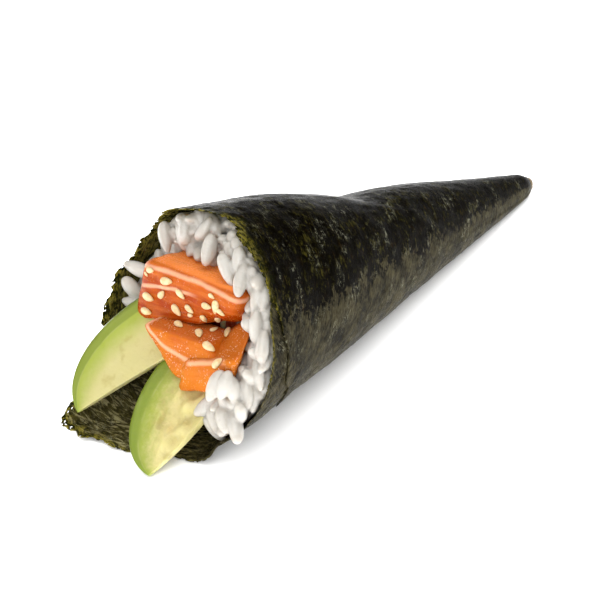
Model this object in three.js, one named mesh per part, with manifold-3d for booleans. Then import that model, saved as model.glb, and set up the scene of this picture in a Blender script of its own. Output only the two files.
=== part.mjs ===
// Temaki hand roll: a sheet of seaweed rolled into a cone round rice, with salmon, sesame
// seeds and two slices of avocado standing out of its mouth.
//
// Millimetres, +Z up. The roll lies on the plane z = 0, its tip towards +X and its mouth
// towards -X. A place on the cone is given by the length along its axis from the tip, and
// by a turn angle in degrees: 0 is the +Y side, 90 the top, 180 the -Y side, 270 the bottom.
import * as THREE from 'three';
import { mergeVertices } from 'three/addons/utils/BufferGeometryUtils.js';
import Module from 'manifold-3d';

const wasm = await Module();
wasm.setup();

// ---- Driving dimensions ------------------------------------------------------------

const CONE_LENGTH = 164.6;      // tip to mouth plane, along the axis
const MOUTH_RADIUS = 31;
const TIP_RADIUS = 2.75;
const TIP_X = 93.3;             // puts the origin under the middle of the roll
const SLOPE = (MOUTH_RADIUS - TIP_RADIUS) / CONE_LENGTH;
const HALF_ANGLE = Math.atan(SLOPE);

const SHEET = 0.45;             // seaweed thickness
const LAYER_STEP = 0.95;        // depth from one layer of the roll to the next
const GAP = 1;                  // air between the sheet and what it holds
const SAG = 0.3;                // how far a single layer lies below a doubled one
const FACE_GAP = 0.3;           // air between two pieces of the filling
const CORE_GAP = 0.5;           // air between the filling and the packed rice behind it
const CORNER_ALLOWANCE = 1.9;   // a corner's own normal leans, so it moves this much further
const SLIVER = 0.04;            // faces thinner than this are merged into their neighbours

const OUTER_END = 582;          // turn angle at which the outer layer ends: 360 + 222
const SHEET_COLUMNS = 54;
const SHEET_ROWS = 18;
const ROW_CROWDING = 1.2;       // the rows of faces stand closer together towards the tip

// The underside is settled on the floor. Below the `flat` share of its radius the cone lies
// level, and by the `fade` share it has its round form again. The strip is the cone's own,
// and between the two lengths it widens into the flap in front of the mouth.
const STRIP = { flat: 0.03, fade: 0.12 };
const FLAP = { flat: 0.05, fade: 0.36, from: 158, to: 186 };

// ---- Small helpers -----------------------------------------------------------------

const { smoothstep, lerp, degToRad, euclideanModulo } = THREE.MathUtils;

const bell = (offset, width) => Math.exp(-((offset / width) ** 2));

// Repeatable random numbers between 0 and 1.
function randomFrom(seed) {
  let state = seed;
  return () => {
    state = (state * 1664525 + 1013904223) % 4294967296;
    return state / 4294967296;
  };
}

// Reads a curve given by [place, value] pairs, eased from each pair to the next.
function along(curve, place) {
  const next = curve.findIndex(([at]) => at > place);
  if (next === 0) return curve[0][1];
  if (next < 0) return curve[curve.length - 1][1];
  const [from, low] = curve[next - 1];
  const [to, high] = curve[next];
  return lerp(low, high, smoothstep(place, from, to));
}

function toSolid(geometry) {
  const bare = geometry.clone();
  bare.deleteAttribute('normal');
  bare.deleteAttribute('uv');
  const merged = mergeVertices(bare, 1e-4);
  return new wasm.Manifold(new wasm.Mesh({
    numProp: 3,
    vertProperties: new Float32Array(merged.attributes.position.array),
    triVerts: new Uint32Array(merged.index.array),
  }));
}

function toGeometry(solid) {
  const mesh = solid.getMesh();
  const geometry = new THREE.BufferGeometry();
  geometry.setAttribute('position', new THREE.BufferAttribute(mesh.vertProperties, 3));
  geometry.setIndex(new THREE.BufferAttribute(mesh.triVerts, 1));
  geometry.computeVertexNormals();
  return geometry;
}

// The one largest piece: sealed hollows are filled, and loose scraps and slivers dropped.
function largest(solid) {
  const pieces = solid.decompose();
  const best = pieces.reduce((most, piece) => (piece.volume() > most.volume() ? piece : most));
  return best.asOriginal().simplify(SLIVER);
}

// A solid whose faces have all moved outwards by a margin.
function swollen(solid, margin) {
  const geometry = toGeometry(solid);
  const { position, normal } = geometry.attributes;
  for (let i = 0; i < position.count; i += 1) {
    const point = new THREE.Vector3().fromBufferAttribute(position, i);
    point.addScaledVector(new THREE.Vector3().fromBufferAttribute(normal, i), margin);
    position.setXYZ(i, point.x, point.y, point.z);
  }
  return toSolid(geometry);
}

// Cuts a solid back from its neighbours.
function cutBy(solid, neighbours, gap = FACE_GAP) {
  const cutters = neighbours.map((neighbour) => swollen(neighbour, gap * CORNER_ALLOWANCE));
  return largest(solid.subtract(wasm.Manifold.union(cutters)));
}

// Moves each vertex of a geometry to where `place` puts it.
function mapped(geometry, place) {
  const positions = geometry.attributes.position;
  const point = new THREE.Vector3();
  for (let i = 0; i < positions.count; i += 1) {
    place(point.fromBufferAttribute(positions, i));
    positions.setXYZ(i, point.x, point.y, point.z);
  }
  return geometry;
}

// ---- The cone ----------------------------------------------------------------------

const OUT = new THREE.Vector3(-Math.cos(HALF_ANGLE), 0, Math.sin(HALF_ANGLE));
const LEFT = new THREE.Vector3(0, 1, 0);
const UP = new THREE.Vector3(Math.sin(HALF_ANGLE), 0, Math.cos(HALF_ANGLE));

// Where the cone is swollen by its filling (negative) or squeezed in (positive).
const SWELLS = [
  { along: 134, length: 26, turn: 70, width: 42, depth: -1.6 },
  { along: 91, length: 10, turn: 70, width: 38, depth: 2.2 },
  { along: 64, length: 22, turn: 66, width: 40, depth: -0.8 },
  { along: 158, length: 14, turn: 222, width: 26, depth: -0.9 },
];
// The tip is pinched to this share of its radius over this length.
const PINCH = { share: 0.62, length: 6 };

function axisPoint(s) {
  return new THREE.Vector3(TIP_X, 0, TIP_RADIUS * Math.cos(HALF_ANGLE)).addScaledVector(OUT, s);
}

// Soft unevenness of the wrapped sheet, the same for all its layers.
function relief(s, turn) {
  const angle = degToRad(turn);
  const size = (TIP_RADIUS + s * SLOPE) / MOUTH_RADIUS;
  const wave = 0.16 * Math.sin(3 * angle + s / 21) + 0.12 * Math.sin(5 * angle - s / 13 + 1);
  return SWELLS.reduce((sum, swell) => {
    const side = euclideanModulo(turn - swell.turn + 180, 360) - 180;
    return sum + swell.depth * bell(s - swell.along, swell.length) * bell(side, swell.width);
  }, size * wave);
}

// A point on the cone, `depth` under its outer face, with its underside settled.
function onCone(s, turn, depth) {
  const full = TIP_RADIUS + s * SLOPE;
  const pinch = lerp(PINCH.share, 1, smoothstep(s, 0, PINCH.length));
  const radius = full * pinch - depth - relief(s, turn);
  const angle = degToRad(turn);
  const point = axisPoint(s)
    .addScaledVector(LEFT, radius * Math.cos(angle))
    .addScaledVector(UP, radius * Math.sin(angle));
  const base = depth * Math.cos(HALF_ANGLE);
  const height = point.z - base;
  const unfold = smoothstep(s, FLAP.from, FLAP.to);
  const flat = full * lerp(STRIP.flat, FLAP.flat, unfold);
  const fade = full * lerp(STRIP.fade, FLAP.fade, unfold);
  const settled = height * smoothstep(height, flat, fade);
  point.y += Math.sign(point.y) * (height - settled) * unfold;
  point.z = base + settled;
  return point;
}

// ---- Seaweed -----------------------------------------------------------------------

// The rim at the mouth, followed round from the sheet's inner edge to its outer edge:
// [turn angle, length from the tip]. The high point at 306 is the corner of the flap.
const RIM = [
  [20, 148], [90, 152], [135, 159], [160, 166], [200, 167.5], [225, 170.5], [258, 171.5],
  [285, 177], [306, 183.5], [319, 174.5], [337, 165], [350, 162.5], [365, 160.5], [380, 155],
  [397, 153], [408, 155], [428, 160], [458, 155.5], [475, 161], [508, 162], [522, 161.5],
  [534, 159.5], [550, 158.5], [564, 154], [OUTER_END, 151.5],
];

// Turn angle of the inner edge: a straight cut of the sheet, slanting round the cone.
const INNER_EDGE = [[0, 200], [60, 182], [68, 155], [80, 126], [102, 91], [164, 24]];

// Turn angles at which the sheet changes depth: the first turn climbs to the face of the
// cone once the outer layer has ended. It sags where it is single, and close before the
// inner edge of the sheet it is lifted again.
const CLIMB = { from: 232, to: 264 };
const SINGLE = { from: 280, to: 330, liftFrom: 16, liftTo: 3 };

// Ragged torn look of the rim.
function ragged(turn) {
  return 0.5 * Math.sin(turn * 0.9) * Math.sin(turn * 0.37 + 2) + 0.35 * Math.sin(turn * 1.7 + 1);
}

// Depth of the sheet's outer face under the face of the cone.
function layerDepth(s, turn) {
  const covered = 1 - smoothstep(turn, CLIMB.from, CLIMB.to);
  const overlap = 360 + along(INNER_EDGE, s);
  const lifted = smoothstep(turn, overlap - SINGLE.liftFrom, overlap - SINGLE.liftTo);
  const single = smoothstep(turn, SINGLE.from, SINGLE.to) * (1 - lifted);
  return LAYER_STEP * covered + SAG * single;
}

// A closed thin solid between two faces that are split into triangles alike.
function sheetSolid(columns, rows, face) {
  const positions = [];
  for (const side of [0, 1]) {
    for (let i = 0; i <= columns; i += 1) {
      for (let j = 0; j <= rows; j += 1) {
        positions.push(...face(i / columns, j / rows, side).toArray());
      }
    }
  }
  const at = (i, j, side) => (side * (columns + 1) + i) * (rows + 1) + j;
  const index = [];
  const quad = (a, b, c, d) => index.push(a, b, c, a, c, d);
  for (let i = 0; i < columns; i += 1) {
    for (let j = 0; j < rows; j += 1) {
      quad(at(i, j, 1), at(i + 1, j, 1), at(i + 1, j + 1, 1), at(i, j + 1, 1));
      index.push(at(i, j, 0), at(i + 1, j + 1, 0), at(i + 1, j, 0));
      index.push(at(i, j, 0), at(i, j + 1, 0), at(i + 1, j + 1, 0));
    }
    quad(at(i, 0, 0), at(i + 1, 0, 0), at(i + 1, 0, 1), at(i, 0, 1));
    quad(at(i, rows, 1), at(i + 1, rows, 1), at(i + 1, rows, 0), at(i, rows, 0));
  }
  for (let j = 0; j < rows; j += 1) {
    quad(at(0, j, 1), at(0, j + 1, 1), at(0, j + 1, 0), at(0, j, 0));
    quad(at(columns, j, 0), at(columns, j + 1, 0), at(columns, j + 1, 1), at(columns, j, 1));
  }
  const geometry = new THREE.BufferGeometry();
  geometry.setAttribute('position', new THREE.Float32BufferAttribute(positions, 3));
  geometry.setIndex(index);
  geometry.computeVertexNormals();
  return geometry;
}

function seaweed() {
  return sheetSolid(SHEET_COLUMNS, SHEET_ROWS, (across, up, side) => {
    const rise = up ** ROW_CROWDING;
    const start = along(INNER_EDGE, rise * CONE_LENGTH);
    const turn = lerp(start, OUTER_END, across);
    const s = rise * (along(RIM, turn) + ragged(turn) * up);
    return onCone(s, turn, layerDepth(s, turn) + SHEET * side);
  });
}

// ---- The mouth frame ---------------------------------------------------------------
// The filling is built in a frame at the middle of the mouth: x to the -Y side, y up and
// z out of the mouth along the cone's axis.

const mouth = new THREE.Group();
mouth.matrix.makeBasis(LEFT.clone().negate(), UP, OUT).setPosition(axisPoint(CONE_LENGTH));
mouth.matrix.decompose(mouth.position, mouth.quaternion, mouth.scale);
mouth.updateMatrixWorld();

// Turn angles of the stretch, underneath, where the lining of the cone is one layer thick.
const THIN = { from: 230, full: 262, until: 325, to: 355 };

// The space inside the cone, from a length out to `cap`, which is measured from the mouth
// plane and depends on the turn and on the share of the radius.
function room(start, cap, extraDepth, columns, rows) {
  const lining = (s, turn) => {
    const doubled = 1 - smoothstep(turn, THIN.from, THIN.full) + smoothstep(turn, THIN.until, THIN.to);
    return SHEET + GAP + SAG + extraDepth(s, turn) + (LAYER_STEP - SAG) * doubled;
  };
  const geometry = new THREE.CylinderGeometry(1, 1, 1, columns, rows);
  return mapped(geometry, (point) => {
    const turn = euclideanModulo(THREE.MathUtils.radToDeg(Math.atan2(point.z, point.x)), 360);
    const share = Math.hypot(point.x, point.z);
    const rise = point.y + 0.5;
    const s = lerp(start, CONE_LENGTH + cap(turn, share), rise);
    const wall = onCone(s, turn, lining(s, turn));
    const middle = axisPoint(s);
    point.copy(middle.lerp(wall, share));
    mouth.worldToLocal(point);
  });
}

// ---- Salmon ------------------------------------------------------------------------

const EDGE_POWER = 9;           // the higher, the sharper the edges of a block

// A block cut from a fillet: flat faces, soft edges and a slight swell, tapering inwards by
// `taper`. `slant` leans its sides over, and `wedge` cuts its underside away to the right.
function salmonBlock({ middle, size, roll, lean, taper, slant, wedge, phase }) {
  const geometry = new THREE.BoxGeometry(2, 2, 2, 7, 5, 5);
  const turn = new THREE.Quaternion().setFromEuler(new THREE.Euler(lean, 0, roll));
  return mapped(geometry, (point) => {
    const spread = point.toArray().reduce((sum, side) => sum + Math.abs(side) ** EDGE_POWER, 0);
    point.multiplyScalar(spread ** (-1 / EDGE_POWER));
    const narrow = 1 - taper * (1 - point.z) / 2;
    const wave = 0.3 * Math.sin(2.1 * point.x + 1.3 * point.z + phase)
      + 0.25 * Math.sin(2.7 * point.y + phase * 2);
    point.x += slant * (point.y - 1) / 2;
    point.y *= 1 - wedge * (point.x + 1) / 2 * Math.max(0, -Math.sign(point.y));
    point.multiply(new THREE.Vector3(size[0] / 2 * narrow, size[1] / 2 * narrow, size[2] / 2));
    point.y += wave;
    point.z += wave;
    point.applyQuaternion(turn).add(middle);
  });
}

const SALMON = {
  salmon_upper: {
    middle: new THREE.Vector3(1.6, 6.2, -12), size: [34, 18, 25], roll: 0.02, lean: 0.03, taper: 0.22,
    slant: 0.24, wedge: 1.15, phase: 0,
  },
  salmon_left: {
    middle: new THREE.Vector3(2, -6, -0.5), size: [23, 13, 11], roll: 0.1, lean: 0.15, taper: 0.1,
    slant: -0.9, wedge: 0, phase: 2,
  },
  salmon_right: {
    middle: new THREE.Vector3(13.5, -4.5, -5), size: [15, 10, 22], roll: 0.36, lean: 0.2, taper: 0.1,
    slant: 0.8, wedge: 0, phase: 4,
  },
};

// ---- Avocado -----------------------------------------------------------------------

const SLICE = {
  blunt: 0.02,                  // share of the half turn that is left off its point
  fullness: 0.9,                // under 1, the rind's curve is fuller than an ellipse
  thinEdge: 0.45,               // thickness at the inner edge, as a share of the rind's
  rindRound: 0.14,              // how far the rind's corners are drawn in
};

// One lengthwise slice. `tip` is its point outside the roll, `inward` runs along its
// straight inner edge, and `face` is the way its cut face looks. The rind side is nearly an
// ellipse, and the slice is a wedge, thickest at the rind. `hollow` scoops its inner edge,
// and fills it where it is negative. Inside the roll it is cut across at `cutEnd`, a share
// of the whole.
function avocadoSlice({ tip, inward, face, length, width, thickness, hollow, cutEnd }) {
  const geometry = new THREE.BoxGeometry(1, 1, 1, 12, 5, 3);
  const normal = face.clone().normalize();
  const forward = inward.clone().addScaledVector(normal, -inward.dot(normal)).normalize();
  const outward = new THREE.Vector3().crossVectors(normal, forward);
  return mapped(geometry, (point) => {
    const place = Math.PI * lerp(SLICE.blunt, cutEnd, point.x + 0.5);
    const across = point.y + 0.5;
    const rind = Math.sin(place) ** SLICE.fullness * width;
    const reach = lerp(hollow * Math.sin(place) ** 2, rind, across);
    const thick = thickness * lerp(SLICE.thinEdge, 1, across) * Math.sin(place) ** 0.6;
    const depth = thick * (point.z - 0.5);
    const round = 1 - Math.sqrt(1 - 0.75 * (2 * point.z) ** 2);
    const drawnIn = 1 - SLICE.rindRound * round * smoothstep(across, 0.6, 1);
    const run = (1 - Math.cos(place)) / 2 * length;
    point.copy(tip)
      .addScaledVector(forward, run)
      .addScaledVector(outward, reach * drawnIn)
      .addScaledVector(normal, depth);
  });
}

const AVOCADO = {
  avocado_back: {
    tip: new THREE.Vector3(-19.2, -26.5, 16.9), inward: new THREE.Vector3(0.58, 0.59, -0.56),
    face: new THREE.Vector3(0.24, 0.53, 0.81), length: 62, width: 20, thickness: 8.5, hollow: 1,
    cutEnd: 0.52,
  },
  avocado_front: {
    tip: new THREE.Vector3(8.5, -32.5, 19.5), inward: new THREE.Vector3(0.1, 0.7, -0.71),
    face: new THREE.Vector3(0.14, 0.7, 0.71), length: 50, width: 18, thickness: 8, hollow: -3,
    cutEnd: 0.6,
  },
};

// ---- Sesame and rice ---------------------------------------------------------------

const SESAME = {
  length: 3.3, width: 2, height: 1.1, point: -0.25, sunk: 0.3, count: 22, spacing: 3.2,
  tries: 400, middle: [2, 0.5], across: 15.5, tall: 0.85, deepest: -3,
};
const GRAIN = {
  length: 7.6, short: 0.7, width: 2.9, height: 2.6, point: 0.06, count: 105, spacing: 3.4,
  tries: 1500, proud: [-0.6, 2.4], pitch: 1.4, widest: 0.96,
};

// A long drop with few faces, lying along x. `point` makes one end blunter than the other.
function drop({ length, width, height, point: lean }) {
  const geometry = new THREE.OctahedronGeometry(1, 1);
  return toSolid(mapped(geometry, (point) => {
    const narrow = 1 + lean * point.x;
    point.set(point.x * length / 2, point.y * narrow * width / 2, point.z * narrow * height / 2);
  }));
}

function placed(solid, position, rotation) {
  const matrix = new THREE.Matrix4().compose(position, rotation, new THREE.Vector3(1, 1, 1));
  return solid.transform(matrix.toArray());
}

// Sesame seeds strewn over the blocks' fronts, each sunk a little into what it lies on.
function strewSesame(blocks, blockers) {
  const random = randomFrom(11);
  const seed = drop(SESAME);
  const meshes = Object.entries(blocks).map(([name, solid]) => {
    const mesh = new THREE.Mesh(toGeometry(solid));
    mesh.name = name;
    return mesh;
  });
  const sown = Object.fromEntries(meshes.map(({ name }) => [name, []]));
  const spots = [];
  const fall = new THREE.Vector3(-0.35, -0.45, -0.8).normalize();
  const upright = new THREE.Vector3(0, 0, 1);
  const [middleX, middleY] = SESAME.middle;
  for (let tries = 0; tries < SESAME.tries && spots.length < SESAME.count; tries += 1) {
    const angle = random() * 2 * Math.PI;
    const reach = SESAME.across * Math.sqrt(random());
    const high = middleY + SESAME.tall * reach * Math.sin(angle);
    const target = new THREE.Vector3(middleX + reach * Math.cos(angle), high, 0);
    const twist = random() * Math.PI;
    const [hit] = new THREE.Raycaster(target.addScaledVector(fall, -30), fall).intersectObjects(meshes);
    if (!hit || hit.point.z < SESAME.deepest) continue;
    if (spots.some((spot) => spot.distanceTo(hit.point) < SESAME.spacing)) continue;
    const lie = new THREE.Quaternion().setFromUnitVectors(upright, hit.face.normal)
      .multiply(new THREE.Quaternion().setFromAxisAngle(upright, twist));
    const proud = SESAME.height * (0.5 - SESAME.sunk);
    const sunk = hit.point.clone().addScaledVector(hit.face.normal, proud);
    const grain = placed(seed, sunk, lie);
    const own = hit.object.name;
    const others = Object.entries(blocks).filter(([name]) => name !== own).map(([, solid]) => solid);
    if ([...others, ...blockers].some((other) => grain.minGap(other, 1) < FACE_GAP)) continue;
    spots.push(hit.point);
    sown[own].push(grain);
  }
  return Object.fromEntries(Object.entries(blocks).map(([name, solid]) => [
    name, largest(wasm.Manifold.union([solid, ...sown[name]])),
  ]));
}

// How far the packed rice stands in front of the mouth plane: it lies back, and is heaped
// up round one place at the lower right.
const RICE_START = 10;
const RICE_FRONT = { level: -9, slope: 0.2, heap: { x: 16, y: -17, height: 11, width: 13 } };

function riceCap(turn, share) {
  const { level, slope, heap } = RICE_FRONT;
  const angle = degToRad(turn);
  const x = -MOUTH_RADIUS * share * Math.cos(angle);
  const y = MOUTH_RADIUS * share * Math.sin(angle);
  return level + slope * x + heap.height * bell(Math.hypot(x - heap.x, y - heap.y), heap.width);
}

function riceHeap(fillings, wrap) {
  const random = randomFrom(5);
  const packed = toSolid(room(RICE_START, riceCap, () => 0, 32, 15));
  const core = cutBy(packed, fillings, CORE_GAP);
  const blockers = [wrap, ...fillings];
  const kernel = drop(GRAIN);
  const short = drop({ ...GRAIN, length: GRAIN.length * GRAIN.short });
  const grains = [];
  const spots = [];
  for (let tries = 0; tries < GRAIN.tries && grains.length < GRAIN.count; tries += 1) {
    const turn = random() * 360;
    const share = Math.sqrt(random()) * GRAIN.widest;
    const s = CONE_LENGTH + riceCap(turn, share) + lerp(...GRAIN.proud, random());
    const pitch = (random() - 0.5) * GRAIN.pitch;
    const sway = (random() - 0.5) * Math.PI;
    const wall = onCone(s, turn, SHEET + GAP + LAYER_STEP + GRAIN.width / 3);
    const spot = mouth.worldToLocal(axisPoint(s).lerp(wall, share));
    if (spots.some((other) => other.distanceTo(spot) < GRAIN.spacing)) continue;
    const heading = new THREE.Euler(0, pitch, Math.PI - degToRad(turn) + sway, 'ZYX');
    const lie = new THREE.Quaternion().setFromEuler(heading);
    const grain = [kernel, short].map((shape) => placed(shape, spot, lie)).find((shape) => (
      !shape.intersect(core).isEmpty() && blockers.every((other) => shape.minGap(other, 1) >= FACE_GAP)));
    if (!grain) continue;
    spots.push(spot);
    grains.push(grain);
  }
  return largest(wasm.Manifold.union([core, ...grains]));
}

// ---- Assembly ----------------------------------------------------------------------

function finish(colour, roughness) {
  return new THREE.MeshStandardMaterial({ color: colour, roughness, metalness: 0, side: THREE.FrontSide });
}

const seaweedFinish = () => finish(0x1c2414, 0.35);
const riceFinish = () => finish(0xe9e6e0, 0.4);
const salmonFinish = () => finish(0xe8703c, 0.3);
const avocadoFinish = () => finish(0xb9c95c, 0.45);

function named(name, geometry, material) {
  const mesh = new THREE.Mesh(geometry, material);
  mesh.name = name;
  return mesh;
}

// In front of the sheet's rim a slice may lean out over it.
const LEAN_OUT = { depth: 3.5, from: 0.5, to: 5 };
const NEAR_WALL = 0.1;          // the slices keep this much further from the sheet than the rice
function besideWall(s, turn) {
  const pastRim = s - along(RIM, turn < CLIMB.from ? turn + 360 : turn);
  return NEAR_WALL - LEAN_OUT.depth * smoothstep(pastRim, LEAN_OUT.from, LEAN_OUT.to);
}

const roll = new THREE.Group();
const sheet = seaweed();
roll.add(named('nori', sheet, seaweedFinish()), mouth);

const wrap = toSolid(sheet.clone().applyMatrix4(mouth.matrixWorld.clone().invert()));
const space = toSolid(room(CONE_LENGTH - 65, () => 32, besideWall, 40, 20));
const upper = toSolid(salmonBlock(SALMON.salmon_upper));
const back = cutBy(toSolid(avocadoSlice(AVOCADO.avocado_back)).intersect(space), [upper]);
const front = cutBy(toSolid(avocadoSlice(AVOCADO.avocado_front)).intersect(space), [upper, back]);
const right = cutBy(toSolid(salmonBlock(SALMON.salmon_right)), [upper, back, front]);
const left = cutBy(toSolid(salmonBlock(SALMON.salmon_left)), [upper, back, front, right]);

const blocks = strewSesame({ salmon_upper: upper, salmon_left: left, salmon_right: right }, [back, front]);
const rice = riceHeap([...Object.values(blocks), back, front], wrap);

for (const [name, solid] of Object.entries(blocks)) {
  mouth.add(named(name, toGeometry(solid), salmonFinish()));
}
mouth.add(named('avocado_back', toGeometry(back), avocadoFinish()));
mouth.add(named('avocado_front', toGeometry(front), avocadoFinish()));
mouth.add(named('rice', toGeometry(rice), riceFinish()));

export default roll;
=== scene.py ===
"""Looks for a temaki hand roll: seaweed wound into a cone round rice, salmon and avocado.

Sizes are in millimetres, and a finished mesh is scaled to metres. The roll lies on z = 0,
its tip towards +X and its mouth towards -X. A place on the cone is given by the length
along its axis from the tip, and by a turn angle in degrees: 0 is the +Y side, 90 the top,
180 the -Y side and 270 the bottom.
"""

import math
import random

import bmesh
import bpy
import numpy as np
from mathutils import Euler, Matrix, Quaternion, Vector, noise
from mathutils.bvhtree import BVHTree
from mathutils.kdtree import KDTree


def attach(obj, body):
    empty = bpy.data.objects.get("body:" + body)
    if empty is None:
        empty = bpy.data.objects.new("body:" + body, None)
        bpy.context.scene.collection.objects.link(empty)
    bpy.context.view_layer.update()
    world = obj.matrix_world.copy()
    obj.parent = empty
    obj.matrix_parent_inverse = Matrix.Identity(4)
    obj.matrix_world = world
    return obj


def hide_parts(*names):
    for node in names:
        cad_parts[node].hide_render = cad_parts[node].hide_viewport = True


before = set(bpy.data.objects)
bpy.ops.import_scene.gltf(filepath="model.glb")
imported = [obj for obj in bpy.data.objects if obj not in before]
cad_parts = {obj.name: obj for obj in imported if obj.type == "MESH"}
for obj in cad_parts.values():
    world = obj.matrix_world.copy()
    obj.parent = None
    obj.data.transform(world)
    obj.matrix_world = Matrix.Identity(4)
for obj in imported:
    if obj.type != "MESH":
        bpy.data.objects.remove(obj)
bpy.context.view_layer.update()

MM = 0.001

# ---- The cone ------------------------------------------------------------------------

CONE_LENGTH = 164.6
MOUTH_RADIUS = 31.0
TIP_RADIUS = 2.75
TIP_X = 93.3
SLOPE = (MOUTH_RADIUS - TIP_RADIUS) / CONE_LENGTH
HALF_ANGLE = math.atan(SLOPE)
OUT = Vector((-math.cos(HALF_ANGLE), 0, math.sin(HALF_ANGLE)))
LEFT = Vector((0, 1, 0))
UP = Vector((math.sin(HALF_ANGLE), 0, math.cos(HALF_ANGLE)))

# Where the cone is swollen by its filling or squeezed in: length, its spread, turn angle,
# its spread, and depth.
SWELLS = [
    (134, 26, 70, 42, -1.6), (91, 10, 70, 38, 1.3), (64, 22, 66, 40, -0.8), (158, 14, 222, 26, -0.9),
]
PINCH_SHARE, PINCH_LENGTH = 0.8, 6       # how far, and over what length, the tip is drawn in
FULLER = 0.95                            # makes up for what the wrinkles take off
FULLER_FROM, FULLER_TO = (-2, 7), (120, 146)     # lengths over which that begins and ends

LAYER_STEP = 0.45                # depth from one layer of the roll to the next
SAG = 0.3                        # how far a single layer lies below a doubled one
OUTER_END = 582                  # turn angle at which the outer layer ends
UNCOVERED_FROM = 232, 264        # turn angles over which the sheet comes out from under itself
SINGLE_FROM = 280, 330           # turn angles over which it becomes a single layer
DOUBLED_BEFORE = 9, 1            # degrees left to the inner edge, where it is doubled again

# What lies on the table is flattened: the shares of the cone's radius up to which it is flat
# and where it is round again, for the strip under the roll and for the flap, and the lengths
# over which the flap takes over from the strip.
STRIP_FLAT, STRIP_FADE = 0.03, 0.12
FLAP_FLAT, FLAP_FADE = 0.05, 0.36
FLAP_FROM, FLAP_TO = 158, 186

# Length from the tip to the rim, by turn angle, and turn angle of the inner edge, by length.
RIM = [
    (20, 148), (90, 152), (135, 159), (160, 166), (200, 167.5), (225, 170.5), (258, 173),
    (285, 180.5), (296, 183.5), (306, 184), (319, 175.5), (337, 165), (350, 162.5),
    (365, 160.5), (380, 155), (397, 153), (408, 155), (428, 160), (458, 155.5), (475, 161),
    (508, 162), (522, 161.5), (534, 159.5), (550, 158.5), (564, 154), (OUTER_END, 151.5),
]
INNER_EDGE = [(0, 200), (60, 182), (68, 155), (80, 126), (102, 91), (164, 24)]


def mix(low, high, share):
    return low + (high - low) * share


def ease(value, low, high):
    """0 below `low`, 1 above `high`, and a smooth step between."""
    share = min(max((value - low) / (high - low), 0), 1)
    return share * share * (3 - 2 * share)


def bell(offset, width):
    return math.exp(-((offset / width) ** 2))


def along(curve, place):
    """Reads a curve given by (place, value) pairs, eased from each pair to the next."""
    if place <= curve[0][0]:
        return curve[0][1]
    for (start, low), (end, high) in zip(curve, curve[1:]):
        if place < end:
            return mix(low, high, ease(place, start, end))
    return curve[-1][1]


def axis_point(s):
    return Vector((TIP_X, 0, TIP_RADIUS * math.cos(HALF_ANGLE))) + OUT * s


def relief(s, turn):
    """Soft unevenness of the wrapped sheet, the same for all its layers."""
    angle = math.radians(turn)
    size = (TIP_RADIUS + s * SLOPE) / MOUTH_RADIUS
    wave = 0.16 * math.sin(3 * angle + s / 21) + 0.12 * math.sin(5 * angle - s / 13 + 1)
    total = size * wave - FULLER * ease(s, *FULLER_FROM) * (1 - ease(s, *FULLER_TO))
    for place, spread, side, width, depth in SWELLS:
        offset = (turn - side + 180) % 360 - 180
        total += depth * bell(s - place, spread) * bell(offset, width)
    return total


def on_cone(s, turn, depth):
    """A point on the cone, `depth` under its outer face, with its underside settled."""
    full = TIP_RADIUS + s * SLOPE
    pinch = mix(PINCH_SHARE, 1, ease(s, 0, PINCH_LENGTH))
    radius = full * pinch - depth - relief(s, turn)
    angle = math.radians(turn)
    point = axis_point(s) + LEFT * (radius * math.cos(angle)) + UP * (radius * math.sin(angle))
    base = depth * math.cos(HALF_ANGLE)
    height = point.z - base
    unfold = ease(s, FLAP_FROM, FLAP_TO)
    flat = full * mix(STRIP_FLAT, FLAP_FLAT, unfold)
    fade = full * mix(STRIP_FADE, FLAP_FADE, unfold)
    settled = height * ease(height, flat, fade)
    point.y += math.copysign(height - settled, point.y) * unfold
    point.z = base + settled
    return point


def layer_depth(s, turn):
    """Depth of the sheet's outer face under the face of the cone."""
    covered = 1 - ease(turn, *UNCOVERED_FROM)
    overlap = 360 + along(INNER_EDGE, s)
    doubled = ease(turn, *(overlap - before for before in DOUBLED_BEFORE))
    single = ease(turn, *SINGLE_FROM) * (1 - doubled)
    return LAYER_STEP * covered + SAG * single


# The mouth frame: x to the -Y side, y up and z out of the mouth along the cone's axis.
MOUTH = Matrix.Translation(axis_point(CONE_LENGTH)) @ Matrix((-LEFT, UP, OUT)).transposed().to_4x4()
TO_MOUTH = MOUTH.inverted()
INTO_MOUTH = TO_MOUTH.to_3x3()           # turns a direction into the mouth frame


def across_mouth(share, angle):
    """A place on the mouth plane, at a share of its radius and an angle from the +Y side."""
    return -MOUTH_RADIUS * share * math.cos(angle), MOUTH_RADIUS * share * math.sin(angle)


# ---- Camera --------------------------------------------------------------------------

VIEW_TURN, VIEW_DROP = math.radians(51.35), math.radians(32)
VIEW_DISTANCE = 600
VIEW_MIDDLE = Vector((-24.3, -2.6, 20))
VIEW_LENS = 132.2
GAZE = Vector((
    math.sin(VIEW_TURN) * math.cos(VIEW_DROP), math.cos(VIEW_TURN) * math.cos(VIEW_DROP),
    -math.sin(VIEW_DROP),
))
EYE = VIEW_MIDDLE - GAZE * VIEW_DISTANCE
ZENITH = Vector((0, 0, 1))
VIEW_RIGHT = GAZE.cross(ZENITH).normalized()
VIEW_DOWN = GAZE.cross(VIEW_RIGHT)
SENSOR = 36
VIEW_WIDTH, VIEW_HEIGHT = 600, 589       # pixels
CLIP_START, CLIP_END = 0.01, 20          # metres


def sight(pixel):
    """Direction of the line of sight through a pixel of the view."""
    step = SENSOR / VIEW_WIDTH / VIEW_LENS
    across, below = pixel[0] - VIEW_WIDTH / 2, pixel[1] - VIEW_HEIGHT / 2
    return GAZE + VIEW_RIGHT * across * step + VIEW_DOWN * below * step


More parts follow.
